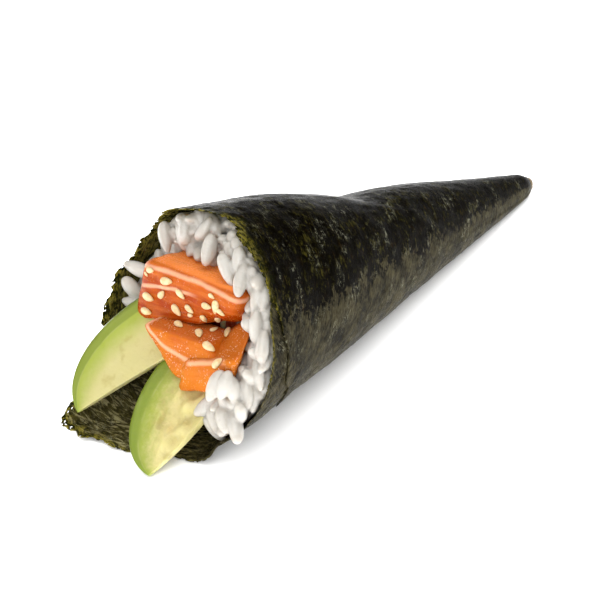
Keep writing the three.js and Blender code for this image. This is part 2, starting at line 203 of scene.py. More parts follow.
def in_mouth(pixel, height):
    """Where a line of sight meets the mouth frame's plane at a height, in that frame."""
    eye, line = TO_MOUTH @ EYE, INTO_MOUTH @ sight(pixel)
    return eye + line * ((height - eye.z) / line.z)


def added(name, data):
    """Puts a mesh, a light or a camera into the scene."""
    made = bpy.data.objects.new(name, data)
    bpy.context.collection.objects.link(made)
    return made


def place_camera():
    data = bpy.data.cameras.new("camera")
    data.lens = VIEW_LENS
    data.sensor_width = SENSOR
    data.clip_start, data.clip_end = CLIP_START, CLIP_END
    camera = added("camera", data)
    camera.location = EYE * MM
    camera.rotation_euler = GAZE.to_track_quat("-Z", "Y").to_euler()
    bpy.context.scene.camera = camera


# ---- Finishes ------------------------------------------------------------------------


class Signal:
    """A shader socket that Python's operators work on."""

    def __init__(self, finish, socket):
        self.finish, self.socket = finish, socket

    def maths(self, operation, *values):
        return self.finish.node("ShaderNodeMath", {"operation": operation}, dict(enumerate(values)))

    def __add__(self, other):
        return self.maths("ADD", self, other)

    def __mul__(self, other):
        return self.maths("MULTIPLY", self, other)

    def __sub__(self, other):
        return self.maths("SUBTRACT", self, other)

    def __rsub__(self, other):
        return self.maths("SUBTRACT", other, self)

    def __abs__(self):
        return self.maths("ABSOLUTE", self)

    __radd__ = __add__
    __rmul__ = __mul__

    def ease(self, low, high):
        """0 below `low`, 1 above `high`, also where `low` is the larger of the two."""
        return self.finish.node(
            "ShaderNodeMapRange", {"interpolation_type": "SMOOTHSTEP"},
            {"Value": self, "From Min": low, "From Max": high},
        )


class Finish:
    """A material with one Principled shader, whose uniform values are given by name."""

    def __init__(self, name, **uniform):
        self.material = bpy.data.materials.new(name)
        self.material.use_nodes = True
        self.tree = self.material.node_tree
        self.shader = self.tree.nodes["Principled BSDF"]
        for key, value in uniform.items():
            self.shader.inputs[key.replace("_", " ").title().replace("Ior", "IOR")].default_value = value

    def node(self, kind, settings, inputs, output=0):
        made = self.tree.nodes.new(kind)
        for key, value in settings.items():
            setattr(made, key, value)
        for key, value in inputs.items():
            if isinstance(value, Signal):
                self.tree.links.new(value.socket, made.inputs[key])
            else:
                made.inputs[key].default_value = value
        return Signal(self, made.outputs[output])

    def feed(self, key, signal):
        self.tree.links.new(signal.socket, self.shader.inputs[key])

    def place(self):
        """Object coordinates, in millimetres."""
        spot = self.node("ShaderNodeTexCoord", {}, {}, "Object")
        return self.scaled(spot, (1 / MM,) * 3)

    def stored(self, name, output="Vector"):
        return self.node("ShaderNodeAttribute", {"attribute_name": name}, {}, output)

    def scaled(self, vector, factors):
        return self.node("ShaderNodeVectorMath", {"operation": "MULTIPLY"}, {0: vector, 1: factors})

    def turned(self, vector, angle):
        """Turns a pattern on a flat map, by degrees."""
        rotation = (0, 0, math.radians(angle))
        return self.node("ShaderNodeMapping", {}, {"Vector": vector, "Rotation": rotation})

    def parts(self, vector):
        return [self.node("ShaderNodeSeparateXYZ", {}, {0: vector}, i) for i in range(3)]

    def noise(self, vector, size, detail=2, roughness=0.5, distortion=0.0):
        """Cloudy noise from about 0 to 1 whose lumps are `size` millimetres across."""
        return self.node("ShaderNodeTexNoise", {}, {
            "Vector": vector, "Scale": 1 / size, "Detail": detail, "Roughness": roughness,
            "Distortion": distortion,
        })

    def blend(self, share, low, high):
        settings = {"data_type": "RGBA", "clamp_factor": True}
        low, high = (c if isinstance(c, Signal) else (*c, 1) for c in (low, high))
        return self.node("ShaderNodeMix", settings, {0: share, 6: low, 7: high}, 2)

    def bump(self, height, distance, under=None):
        """Relief `distance` millimetres high, over the relief `under` it."""
        inputs = {"Height": height, "Distance": distance * MM, "Strength": 1}
        if under:
            inputs["Normal"] = under
        return self.node("ShaderNodeBump", {}, inputs)


# ---- Making pieces -------------------------------------------------------------------


def shown(name, bm):
    """Makes an object of a bmesh, which is then freed."""
    mesh = bpy.data.meshes.new(name)
    bm.to_mesh(mesh)
    bm.free()
    return added(name, mesh)


def finished(name, bm, finishes, nodes):
    """Turns a bmesh in millimetres into a smooth piece of the roll, in place of its nodes."""
    bmesh.ops.scale(bm, vec=(MM,) * 3, verts=bm.verts)
    for face in bm.faces:
        face.smooth = True
    piece = shown(name, bm)
    for finish in finishes:
        piece.data.materials.append(finish.material)
    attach(piece, "root")
    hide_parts(*nodes)
    return piece


def surface_of(piece):
    """A finished piece's surface, in millimetres, for finding what lies on or in it."""
    bm = bmesh.new()
    bm.from_mesh(piece.data)
    bmesh.ops.scale(bm, vec=(1 / MM,) * 3, verts=bm.verts)
    tree = BVHTree.FromBMesh(bm)
    bm.free()
    return tree


# ---- Seaweed -------------------------------------------------------------------------

SHEET_COLUMNS, SHEET_ROWS = 260, 104
RIM_ROWS, RIM_CUTS = 5, 2        # the rows next to the rim are cut finer
SHEET_THICKNESS = 0.22
NIBBLE_DEPTH = 0.7
TIP_START = 0.3                  # where the sheet starts, from the tip
INSET = 0.25                     # keeps the wrinkles inside the cone's face
APEX = TIP_RADIUS / SLOPE        # length from the tip to where the cone would come to a point
SHEET_MIDDLE = 391               # turn angle of the middle of the flat sheet
DEGREE = 0.5                     # about the width of a degree of turn near the rim
FRINGE_WIDTHS = 0.7, 2.6         # where the rim is whole and where it is torn
PATCH_TURN, PATCH_SPREAD, PATCH_WIDTH = 472, 24, 3       # a worn patch beside the mouth's top
LIFTED_FROM, LIFTED_TO = (276, 286), (318, 330)          # turn angles at the ends of the curl
LIFT_REACH = 12                  # how far in from the rim the flap curls up


def torn(turn):
    """How torn the rim is, from 0 to 1: worst round the far wall and the flap."""
    flap = ease(turn, 268, 300) - ease(turn, 425, 450)
    near = 0.5 * (ease(turn, 430, 460) - ease(turn, 505, 525))
    beside = 0.2 * (ease(turn, 120, 140) - ease(turn, 180, 200))
    return 0.12 + 0.88 * min(1, flap + near + beside)


def fringe(turn):
    """Width of the worn, paler fringe along the rim, in millimetres."""
    return mix(*FRINGE_WIDTHS, torn(turn)) + PATCH_WIDTH * bell(turn - PATCH_TURN, PATCH_SPREAD)


def ragged(turn):
    """How far the torn rim stands out or in, in millimetres."""
    place = turn * math.radians(MOUTH_RADIUS)
    slow = noise.noise(Vector((place * 0.2, 3.1, 0)))
    bites = noise.noise(Vector((place * 0.55, 1.4, 0)))
    fibres = noise.noise(Vector((place * 1.5, 7.7, 0)))
    return torn(turn) * (1.2 * slow + 0.9 * bites + 0.7 * fibres) - 0.6


def wrinkles(point, s):
    """Depth of the wrinkles at a place on the cone, the same for all layers."""
    size = min(1, 0.3 + s / 120)
    folds = noise.noise(point * 0.085)
    crinkle = noise.noise(Vector((point.x * 0.16, point.y * 0.34, point.z * 0.34)))
    small = noise.noise(point * 0.62)
    return INSET + size * (0.2 * (folds + 0.5) + 0.34 * abs(crinkle) + 0.1 * (small + 0.5))


def flap_lift(s, turn, rim):
    """How far the flap's edge curls up off the table, beside the avocado."""
    beside = ease(turn, *LIFTED_FROM) * (1 - ease(turn, *LIFTED_TO))
    uneven = 0.8 + 0.6 * noise.noise(Vector((turn * 0.2, 4.4, 0)))
    return beside * ease(s, rim - LIFT_REACH, rim) * uneven


def frayed(rise):
    """Uneven end of the outer layer, in degrees of turn."""
    slow = noise.noise(Vector((rise * 26, 5.5, 0)))
    fibres = noise.noise(Vector((rise * 90, 2.5, 0)))
    return 2 * slow + 1.6 * fibres - 1.5


def unrolled(s, turn):
    """Where a place on the cone lies on the flat sheet, in millimetres."""
    reach = (s + APEX) / math.cos(HALF_ANGLE)
    angle = math.radians(turn - SHEET_MIDDLE) * math.sin(HALF_ANGLE)
    return reach * math.sin(angle), reach * math.cos(angle)


def is_nibbled(face, to_rim, wear):
    """Whether a face at the rim is missing, which leaves nicks and pinholes."""
    deep = min(vert[to_rim] for vert in face.verts)
    worn = NIBBLE_DEPTH * face.verts[0][wear]
    if deep > worn:
        return False
    return noise.noise(face.calc_center_median() * 1.1) > 0.15 + 0.5 * deep / worn


def faces_outward(faces):
    """Whether most of a sheet wound round the cone's axis faces away from it."""
    outward = 0
    for face in faces:
        middle = face.calc_center_median()
        axis = axis_point((TIP_X - middle.x) / math.cos(HALF_ANGLE))
        outward += face.normal.dot(middle - axis) > 0
    return outward > len(faces) / 2


def seaweed_sheet(finishes):
    bm = bmesh.new()
    bmesh.ops.create_grid(bm, x_segments=SHEET_COLUMNS, y_segments=SHEET_ROWS, size=0.5)
    rim_from = 0.5 - (RIM_ROWS + 0.5) / SHEET_ROWS
    near_rim = [edge for edge in bm.edges if all(vert.co.y > rim_from for vert in edge.verts)]
    bmesh.ops.subdivide_edges(bm, edges=near_rim, cuts=RIM_CUTS, use_grid_fill=True)
    flat_map = bm.loops.layers.uv.new("sheet")
    to_rim = bm.verts.layers.float.new("to_rim")
    wear = bm.verts.layers.float.new("wear")
    turned = bm.verts.layers.float.new("turn")
    spots = {}
    for vert in bm.verts:
        across, up = vert.co.x + 0.5, vert.co.y + 0.5
        rise = up * (1.3 - 0.3 * up)     # the rows lie closer together towards the rim
        start = along(INNER_EDGE, rise * CONE_LENGTH)
        turn = mix(start, OUTER_END, across) + across ** 30 * frayed(rise)
        rim = along(RIM, turn) + ragged(turn) * up ** 6
        s = mix(TIP_START, rim, rise)
        bare = on_cone(s, turn, 0)
        vert.co = on_cone(s, turn, layer_depth(s, turn) + wrinkles(bare, s))
        vert.co.z += flap_lift(s, turn, rim)
        vert[to_rim] = min(rim - s, (OUTER_END - turn) * DEGREE) / fringe(turn)
        vert[wear] = torn(turn)
        vert[turned] = turn
        spots[vert] = unrolled(s, turn)
    for face in bm.faces:
        for loop in face.loops:
            loop[flat_map].uv = spots[loop.vert]
    nibbled = [face for face in bm.faces if is_nibbled(face, to_rim, wear)]
    bmesh.ops.delete(bm, geom=nibbled, context="FACES")
    bmesh.ops.recalc_face_normals(bm, faces=bm.faces)
    if not faces_outward(bm.faces):
        bmesh.ops.reverse_faces(bm, faces=bm.faces)
    sheet = finished("seaweed", bm, finishes, ["nori"])
    solid = sheet.modifiers.new("thickness", "SOLIDIFY")
    solid.thickness = SHEET_THICKNESS * MM
    solid.offset = -1
    solid.material_offset = 1
    solid.material_offset_rim = 0
    return sheet


# The lower flank, dark and light: a paler colour painted where the sheet would mirror the bright
# table, a painted reflection. The turn angle from which the outer layer has it, and those over
# which the layer under it stops having it.
PAINTED_REFLECTION = (0.007, 0.006, 0.003), (0.088, 0.076, 0.041)
REFLECTION_FROM, REFLECTION_TO, REFLECTION_EDGE = 520, (262, 240), 3

# The flap's creases, dark and light, the light being highlights painted on them: the turn angles
# over which they begin and end, and their slant from the turn's direction, in degrees.
CREASES_AND_GLINTS = (0.036, 0.030, 0.009), (0.40, 0.355, 0.18)
CREASED_FROM, CREASED_TO = (240, 262), (345, 325)
CREASE_SLANT = 42

RUST = (0.040, 0.020, 0.005)
# Colour of the glints painted on the hairs, a painted highlight.
PAINTED_HAIR_GLINTS = (0.42, 0.42, 0.30)
OLIVE_RIM, PALE_RIM = (0.012, 0.014, 0.002), (0.30, 0.25, 0.035)
TOASTED_TIP, TOASTED_FROM = (0.20, 0.12, 0.025), (91.5, 94.2)     # the tip, and its x
RIDGE, RIDGE_SPREAD = 435, (40, 15)     # turn angle of the glossy top, and where it fades


def flap_creases_and_glints(finish, spot):
    """Colour of the short creases that run slantwise over the flap, pale where highlights are painted on
    them.
    """
    slanted = finish.scaled(finish.turned(spot, -CREASE_SLANT), (0.3, 1, 1))
    creases = finish.noise(slanted, 1.1, detail=5, roughness=0.68, distortion=1)
    return finish.blend(creases.ease(0.47, 0.64), *CREASES_AND_GLINTS)


def painted_hair_glints(finish, spot, hair, mottle):
    """Share of the glints painted along the hairs: painted highlights, thin lines in clumps."""
    clumps = finish.noise(finish.scaled(spot, (0.6, 1, 1)), 5, detail=3)
    return abs(hair - 0.5).ease(0.03, 0.004) * clumps.ease(0.5, 0.66) * mottle.ease(0.44, 0.56)


def seaweed_finish(name, dark, olive, spread, thin, rough, creases_and_glints):
    """`spread` and `thin` are the ranges over which the sheet turns olive and pale.

    `rough` is the height of its relief, and the last argument how plainly the flap's creases and the
    highlights painted on them show.
    """
    finish = Finish(
        name, specular_ior_level=0.006, specular_tint=(1, 0.9, 0.7, 1), coat_roughness=0.3,
    )
    spot = finish.stored("sheet")
    fibre = finish.scaled(spot, (0.3, 1.3, 1))
    cloud = finish.noise(spot, 8, detail=5, roughness=0.6)
    mottle = finish.noise(spot, 1.9, detail=6, roughness=0.7, distortion=0.8)
    strands = finish.noise(fibre, 0.8, detail=5, roughness=0.68, distortion=0.6)
    folds = finish.noise(finish.scaled(spot, (0.5, 0.06, 1)), 1.5, detail=3)
    hair = finish.noise(finish.scaled(spot, (0.22, 1, 1)), 0.9, detail=3, roughness=0.6, distortion=0.7)
    rim = finish.stored("to_rim", "Fac")
    wear = finish.stored("wear", "Fac")
    turn = finish.stored("turn", "Fac")

    patches = cloud * 0.5 + mottle * 0.8 + strands * 0.8
    colour = finish.blend(patches.ease(*spread), dark, olive)
    # Painted reflection: the lower flank is painted paler, as if it mirrored the bright table, and loses its
    # gloss.
    uneven = turn + (mottle - 0.5) * 70 + (cloud - 0.5) * 40
    lower = uneven.ease(REFLECTION_FROM - REFLECTION_EDGE, REFLECTION_FROM + REFLECTION_EDGE) + turn.ease(*REFLECTION_TO)
    painted_reflection = finish.blend((strands * 0.6 + mottle * 0.2 + cloud * 0.5).ease(0.53, 0.8), *PAINTED_REFLECTION)
    colour = finish.blend(lower * 0.85, colour, painted_reflection)
    rust = finish.noise(spot, 3.1, detail=4).ease(0.52, 0.72) * strands.ease(0.45, 0.65)
    colour = finish.blend(rust * 0.5, colour, RUST)
    # The flap's creases, with highlights painted on them.
    on_flap = turn.ease(*CREASED_TO) * turn.ease(*CREASED_FROM)
    colour = finish.blend(on_flap * creases_and_glints, colour, flap_creases_and_glints(finish, spot))
    # Painted highlights: thin pale glints in clumps, as on shining hairs.
    colour = finish.blend(painted_hair_glints(finish, spot, hair, mottle) * 0.6, colour, PAINTED_HAIR_GLINTS)
    edge = (rim + (mottle - 0.5) * 4 + (cloud - 0.5) * 3).ease(*thin) * wear.ease(0.05, 0.5)
    worn = finish.blend((strands * 0.7 + mottle * 1.3).ease(0.92, 1.14), OLIVE_RIM, PALE_RIM)
    colour = finish.blend(edge * 0.85, colour, worn)
    tip = (finish.parts(finish.place())[0] + mottle * 4).ease(*TOASTED_FROM)
    colour = finish.blend(tip * 0.9, colour, TOASTED_TIP)
    finish.feed("Base Color", colour)
    finish.feed("Roughness", mottle.ease(0.3, 0.7) * 0.16 + 0.2)
    gloss = abs(turn - RIDGE).ease(*RIDGE_SPREAD) * 0.3 + 0.01
    finish.feed("Coat Weight", folds.ease(0.47, 0.58) * strands.ease(0.35, 0.6) * (1 - lower) * gloss)
    waves = finish.bump(cloud + folds * 0.5 + mottle * 0.3, rough * 3)
    finish.feed("Normal", finish.bump(strands + hair * 0.4, rough, under=waves))
    return finish


# ---- Blocks of salmon ----------------------------------------------------------------

# Middles and turns are in the mouth frame, and the lines of fat in the block's own. A block's top
# colour is painted on its top face: much lighter on the upper block, painted light from above.
SALMON = {
    "salmon_upper": {
        "middle": (1.6, 6.6, -12), "size": (34, 18.8, 25), "roll": 0.02, "lean": 0.03, "taper": 0.22,
        "slant": 0.24, "wedge": 1.0, "twist": 0, "undercut": 4, "phase": 0, "painted_glints": 0.3,
        "tone": ((0.33, 0.034, 0.0005), (0.42, 0.062, 0.001)), "top": (1.0, 0.29, 0.065), "paler_above": 2.5,
        "fat": [
            {"level": 7.8, "tilt": 0, "bend": 0.004, "width": 0.5, "span": (-40, 40)},
            {"level": 3.9, "tilt": 0.02, "bend": 0.01, "width": 0.4, "span": (-40, 1)},
        ],
    },
    "salmon_left": {
        "middle": (2, -5.3, -0.5), "size": (23, 14, 11), "roll": 0.1, "lean": 0.15, "taper": 0.1,
        "slant": -0.9, "wedge": 0, "twist": 0, "undercut": 0, "phase": 2, "painted_glints": 0.9,
        "tone": ((0.47, 0.085, 0.004), (0.56, 0.150, 0.010)), "top": (0.48, 0.115, 0.022), "paler_above": 9,
        "fat": [{"level": 1.2, "tilt": -0.3, "bend": -0.03, "width": 0.55, "span": (-40, 6)}],
    },
    "salmon_right": {
        "middle": (15.6, -3.7, -5), "size": (19.5, 10, 22), "roll": 0.36, "lean": 0.2, "taper": 0.1,
        "slant": 0.7, "wedge": 0, "twist": 0.28, "undercut": 0, "phase": 4, "painted_glints": 0.9,
        "tone": ((0.51, 0.110, 0.006), (0.60, 0.175, 0.014)), "top": (0.45, 0.11, 0.014), "paler_above": 9,
        "fat": [{"level": 4.0, "tilt": 0, "bend": 0.004, "width": 0.5, "span": (-9, 3)}],
    },
}
EDGE_POWER = 9           # the higher, the sharper the block's edges
BLOCK_CUTS = 27


def salmon_block(name, finish):
    block = SALMON[name]
    half = Vector(block["size"]) / 2
    turn = Euler((block["lean"], 0, block["roll"])).to_matrix()
    phase = block["phase"]
    bm = bmesh.new()
    bmesh.ops.create_cube(bm, size=2)
    bmesh.ops.subdivide_edges(bm, edges=bm.edges, cuts=BLOCK_CUTS, use_grid_fill=True)
    flesh = bm.verts.layers.float_vector.new("flesh")
    for vert in bm.verts:
        point = vert.co.copy()
        point /= sum(abs(side) ** EDGE_POWER for side in point) ** (1 / EDGE_POWER)
        narrow = 1 - block["taper"] * (1 - point.z) / 2
        wave = 0.3 * math.sin(2.1 * point.x + 1.3 * point.z + phase)
        wave += 0.25 * math.sin(2.7 * point.y + phase * 2)
        point.x += block["slant"] * (point.y - 1) / 2
        vert[flesh] = point * half
        if point.y < 0:
            point.y *= 1 - block["wedge"] * (point.x + 1) / 2
        lower_edge = -half.y * narrow * (1 - block["wedge"] * (point.x + 1) / 2)
        raised = block["twist"] * half.x * 2 * ease(point.x, -1, 0.6) * ease(-point.z, -1, 0)
        point = Vector((point.x * half.x * narrow, point.y * half.y * narrow, point.z * half.z))
        under = bell(point.y - lower_edge, 2.4) * ease(point.x, 3, 8) * ease(point.z, 0, half.z)
        point.z -= block["undercut"] * under
        point.y += raised
        point.y += wave
        point.z += wave
        vert.co = MOUTH @ (turn @ point + Vector(block["middle"]))
    bmesh.ops.recalc_face_normals(bm, faces=bm.faces)
    bm.normal_update()
    for vert in bm.verts:
        lumps = noise.noise(vert.co * 0.28) * 0.35 + noise.noise(vert.co * 0.8) * 0.12
        vert.co += vert.normal * lumps
    return finished(name + "_block", bm, [finish], [name])


FAT = (0.85, 0.48, 0.30)
FAT_WANDER = 0.9                 # how far the lines of fat stray, in millimetres
PALER = (0.62, 0.15, 0.018)      # the flesh between the lines of fat
FIBRES = (0.66, 0.19, 0.03)
# Colour of the glints painted on the wet flesh, a painted highlight.
PAINTED_GLINTS = (0.95, 0.70, 0.50)


def salmon_finish(name):
    block = SALMON[name]
    finish = Finish(
        name, specular_ior_level=0.05, subsurface_weight=0.3, subsurface_scale=0.003,
        subsurface_radius=(1, 0.3, 0.1), coat_weight=0.06, coat_roughness=0.04,
    )
    place, flesh = finish.place(), finish.stored("flesh")
    x, y, _ = finish.parts(flesh)
    warp = finish.noise(place, 5)
    fibres = finish.noise(finish.scaled(flesh, (0.12, 1, 0.3)), 1.1, detail=3)
    cloud = finish.noise(place, 6, detail=3)
    colour = finish.blend(cloud.ease(0.25, 0.75), *block["tone"])
    above = block["paler_above"]
    colour = finish.blend((y + (cloud - 0.5) * 3).ease(above, above + 3) * 0.45, colour, PALER)
    colour = finish.blend(fibres.ease(0.42, 0.7) * 0.4, colour, FIBRES)
    # Painted light: the top face takes the block's top colour, much lighter on the upper block as if lit
    # from above.
    top = block["size"][1] / 2
    colour = finish.blend(y.ease(top - 0.9, top - 0.2) * 0.85, colour, block["top"])
    for fat in block["fat"]:
        start, end = fat["span"]
        level = fat["level"] + FAT_WANDER / 2
        line = abs(y + x * x * fat["bend"] - x * fat["tilt"] + warp * FAT_WANDER - level)
        pale = line.ease(fat["width"] * 2, fat["width"] * 0.3) * x.ease(start - 1, start + 1)
        colour = finish.blend(pale * x.ease(end + 3, end - 3) * 0.75, colour, FAT)
    # Painted highlights: pale specks where the wet flesh would glint; the same noise also roughens and bumps
    # it.
    wet_and_glints = finish.noise(place, 0.5, detail=3, roughness=0.65)
    painted_glints = finish.noise(place, 4).ease(0.48, 0.62)
    colour = finish.blend(wet_and_glints.ease(0.6, 0.66) * painted_glints * block["painted_glints"], colour, PAINTED_GLINTS)
    finish.feed("Base Color", colour)
    finish.feed("Roughness", wet_and_glints.ease(0.3, 0.7) * 0.2 + 0.15)
    under = finish.bump(fibres + cloud * 2, 0.3)
    finish.feed("Normal", finish.bump(wet_and_glints, 0.14, under=under))
    return finish


# ---- Avocado -------------------------------------------------------------------------

# In the mouth frame: one end of a slice, the way it runs from there, and its cut face's normal.
AVOCADO = {
    "avocado_back": {
        "tip": (-19.2, -26.5, 16.9), "inward": (0.58, 0.59, -0.56), "face": (0.24, 0.53, 0.81),
        "length": 62, "width": 20, "thickness": 8.5, "hollow": 1, "cut_end": 0.52, "lumps": 0.25,
        "flesh": (0.56, 0.51, 0.225), "rind": (0.215, 0.27, 0.034), "soft": 0.4, "pale_from": 12,
        "mottled": 1.5, "dark_end": 0.9,
    },
    "avocado_front": {
        "tip": (8.5, -32.5, 19.5), "inward": (0.1, 0.7, -0.71), "face": (0.14, 0.7, 0.71),
        "length": 50, "width": 18, "thickness": 8, "hollow": -3, "cut_end": 0.6, "lumps": 3.2,
        "flesh": (0.68, 0.60, 0.26), "rind": (0.205, 0.275, 0.022), "soft": 1.4, "pale_from": 11,
        "mottled": 5, "dark_end": 0.45,
    },
}
SLICE_BLUNT, SLICE_FULLNESS, THIN_EDGE, RIND_ROUND = 0.02, 0.9, 0.3, 0.14
SLICE_CUTS = 35
CUT_FACE = 0.45          # above this height, from -0.5 to 0.5, is the cut face that shows


def avocado_slice(name, finish):
    cut = AVOCADO[name]
    tip, inward, normal = Vector(cut["tip"]), Vector(cut["inward"]), Vector(cut["face"]).normalized()
    forward = (inward - normal * inward.dot(normal)).normalized()
    outward = normal.cross(forward)
    bm = bmesh.new()
    bmesh.ops.create_cube(bm, size=1)
    bmesh.ops.subdivide_edges(bm, edges=bm.edges, cuts=SLICE_CUTS, use_grid_fill=True)
    flesh = bm.verts.layers.float_vector.new("flesh")
    for vert in bm.verts:
        x, y, z = vert.co
        place = math.pi * mix(SLICE_BLUNT, cut["cut_end"], x + 0.5)
        across = y + 0.5
        rind = math.sin(place) ** SLICE_FULLNESS * cut["width"]
        reach = mix(cut["hollow"] * math.sin(place) ** 2, rind, across)
        thick = cut["thickness"] * mix(THIN_EDGE, 1, across) * math.sin(place) ** 0.6
        depth = thick * (z - 0.5)
        rounding = 1 - math.sqrt(1 - 0.75 * (2 * z) ** 2)
        drawn_in = 1 - RIND_ROUND * rounding * ease(across, 0.6, 1)
        run = (1 - math.cos(place)) / 2 * cut["length"]
        vert[flesh] = Vector((run / cut["length"], rind * (1 - across), depth))
        if z > CUT_FACE:
            lump = noise.noise(Vector((run * 0.22, reach * 0.3, 2.3)))
            lump += 0.3 * noise.noise(Vector((run, reach, 5)))
            uneven = max(lump - 0.2, -0.3) * cut["lumps"] * (1 - ease(across, 0.35, 0.8))
            depth += uneven * ease(run, 3, 12) * ease(across, 0, 0.12)
        point = tip + forward * run + outward * (reach * drawn_in) + normal * depth
        vert.co = MOUTH @ point
    bmesh.ops.recalc_face_normals(bm, faces=bm.faces)
    return finished(name + "_slice", bm, [finish], [name])


RIND_BAND = 3.6          # width of the green band next to the rind
BAND_EDGE = (0.46, 0.47, 0.16)
GREENER, STREAKED = (0.33, 0.385, 0.055), (0.32, 0.38, 0.09)
BROWNED, DARK_END = (0.34, 0.26, 0.06), (0.21, 0.235, 0.022)


def avocado_finish(name):
    cut = AVOCADO[name]
    finish = Finish(
        name, specular_ior_level=0.25, subsurface_weight=0.25, subsurface_scale=0.003,
        subsurface_radius=(0.9, 1, 0.4), coat_weight=0.1, coat_roughness=0.15,
    )
    place, flesh = finish.place(), finish.stored("flesh")
    run, from_rind, _ = finish.parts(flesh)
    cloud = finish.noise(place, 7, detail=3)
    small = finish.noise(place, 1.1, detail=4, roughness=0.6)
    streaks = finish.noise(finish.scaled(flesh, (9, 0.5, 1)), 1.6, detail=3)
    depth = from_rind + (cloud - 0.5) * 4 + (small - 0.5) * cut["mottled"]
    colour = finish.blend(depth.ease(RIND_BAND, cut["pale_from"]), GREENER, cut["flesh"])
    dark = run.ease(cut["dark_end"], 0.95) * (depth + (small - 0.5) * 12).ease(17, 4)
    colour = finish.blend(dark, colour, DARK_END)
    brown = finish.noise(place, 4.5, detail=3).ease(0.56, 0.7) * depth.ease(5, 9)
    colour = finish.blend(brown * 0.4, colour, BROWNED)
    skin = finish.blend(from_rind.ease(1.2, 0) * 0.6, cut["rind"], [shade * 0.55 for shade in cut["rind"]])
    soft = cut["soft"]
    band = (from_rind + (cloud - 0.5) * soft).ease(RIND_BAND + soft, RIND_BAND - soft)
    colour = finish.blend(band, colour, skin)
    bright = abs(from_rind - RIND_BAND + (cloud - 0.5) * 0.8).ease(0.45, 0.1)
    colour = finish.blend(bright * cloud.ease(0.42, 0.6) * 0.3, colour, BAND_EDGE)
    streaked = streaks.ease(0.45, 0.7) * from_rind.ease(RIND_BAND, 0) * 0.35
    colour = finish.blend(streaked, colour, STREAKED)
    finish.feed("Base Color", colour)
    finish.feed("Roughness", small * 0.25 + 0.22)
    finish.feed("Normal", finish.bump(small, 0.16, under=finish.bump(cloud, 0.6)))
    return finish


# ---- Rice ----------------------------------------------------------------------------

# The rice's face keeps below the rim between two turn angles, and lower under the mouth's
# top. Elsewhere it lies deeper, with a heap on the near side and a hollow on the far side.
BELOW_RIM = 1.5
KEEPS_FROM, KEEPS_TO = (50, 80), (200, 225)
TOP_TURN, TOP_DEPTH, TOP_SPREAD = 88, 7, 32
FACE_HEIGHT, FACE_SLOPE = -10.5, 0.15
HEAP_MIDDLE, HEAP_HEIGHT, HEAP_SPREAD = (21, -14), 11, 11
HOLLOW_TURN, HOLLOW_DEPTH, HOLLOW_SPREAD = 34, 9, 20

WALL_DEPTH = 0.8                 # room that the sheet takes up inside the wound cone
CORE_FRONT, CORE_BACK = 0.55, 0.45       # shares of the core, from pole to pole
CORE_DEPTH, CORE_INSET = 1.4, 2.2        # under the rice's face, and under the cone's
CORE_END, CORE_CLOSES = 10, 0.97         # length from the tip, and where it is drawn shut


def rice_cap(x, y):
    """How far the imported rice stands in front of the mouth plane."""
    turn = math.degrees(math.atan2(y, -x)) % 360
    below = BELOW_RIM + TOP_DEPTH * bell(turn - TOP_TURN, TOP_SPREAD)
    at_rim = max(along(RIM, turn), along(RIM, turn + 360)) - CONE_LENGTH - below
    keeps = ease(turn, *KEEPS_FROM) * (1 - ease(turn, *KEEPS_TO))
    outward = min(1, math.hypot(x, y) / MOUTH_RADIUS) ** 1.5
    heap = HEAP_HEIGHT * bell(math.hypot(x - HEAP_MIDDLE[0], y - HEAP_MIDDLE[1]), HEAP_SPREAD)
    hollow = HOLLOW_DEPTH * outward * bell(turn - HOLLOW_TURN, HOLLOW_SPREAD)
    return mix(FACE_HEIGHT + FACE_SLOPE * x + heap, at_rim, keeps * outward) - hollow


def wall_radius(height, turn):
    """Radius of the rolled sheet's inner face at a height over the mouth plane."""
    s = CONE_LENGTH + height
    return TIP_RADIUS + s * SLOPE - relief(s, turn) - LAYER_STEP - WALL_DEPTH


def rice_core(finish):
    bm = bmesh.new()
    bmesh.ops.create_uvsphere(bm, u_segments=96, v_segments=72, radius=1)
    for vert in bm.verts:
        turn = math.degrees(math.atan2(vert.co.y, vert.co.x)) % 360
        fall = math.acos(max(-1, min(1, vert.co.z))) / math.pi
        share = min(1, fall / CORE_FRONT)
        s = CONE_LENGTH + rice_cap(*across_mouth(share, math.radians(turn))) - CORE_DEPTH
        if fall >= CORE_FRONT:
            s = mix(s, CORE_END, (fall - CORE_FRONT) / CORE_BACK)
        share *= 1 - ease(fall, CORE_CLOSES, 1)
        vert.co = axis_point(s).lerp(on_cone(s, turn, CORE_INSET), share)
    bmesh.ops.recalc_face_normals(bm, faces=bm.faces)
    bm.normal_update()
    for vert in bm.verts:
        vert.co += vert.normal * (noise.noise(vert.co * 0.45) - 0.3) * 0.6
    return finished("rice_core", bm, [finish], ["rice"])


GRAIN_SIZE = 8.4, 3.9, 3.6
PLUMPER = 1.06                   # how much larger the grains with a place of their own are
FUSED_STEP = 0.34                # mesh size of the skin over the grains
STREWN = 420                     # places tried for loose grains, spread evenly
STREWN_REACH = 0.93              # share of the mouth's radius over which they are spread
GOLDEN_TURN = math.pi * (3 - math.sqrt(5))
BEADS = 4                        # a grain is packed as a row of round beads
BEAD_RADIUS = 1.35
WALL_CLEARANCE = 2.3             # from a grain's middle line to the sheet
ROUNDS = 40                      # of packing, each of which makes good these shares:
OVERLAP_SHARE = 0.3              # of an overlap with another grain
WALL_SHARE = 0.8                 # of what lies past the sheet
HEIGHT_SHARE = 0.04              # of the way back to the height where it was strewn
FILLING_SHARE = 0.6              # of an overlap with a filling
FILLING_DEEPEST = 1.5            # the most of that overlap that counts
FILLING_REACH = 3                # how far outside a bead the fillings are looked for

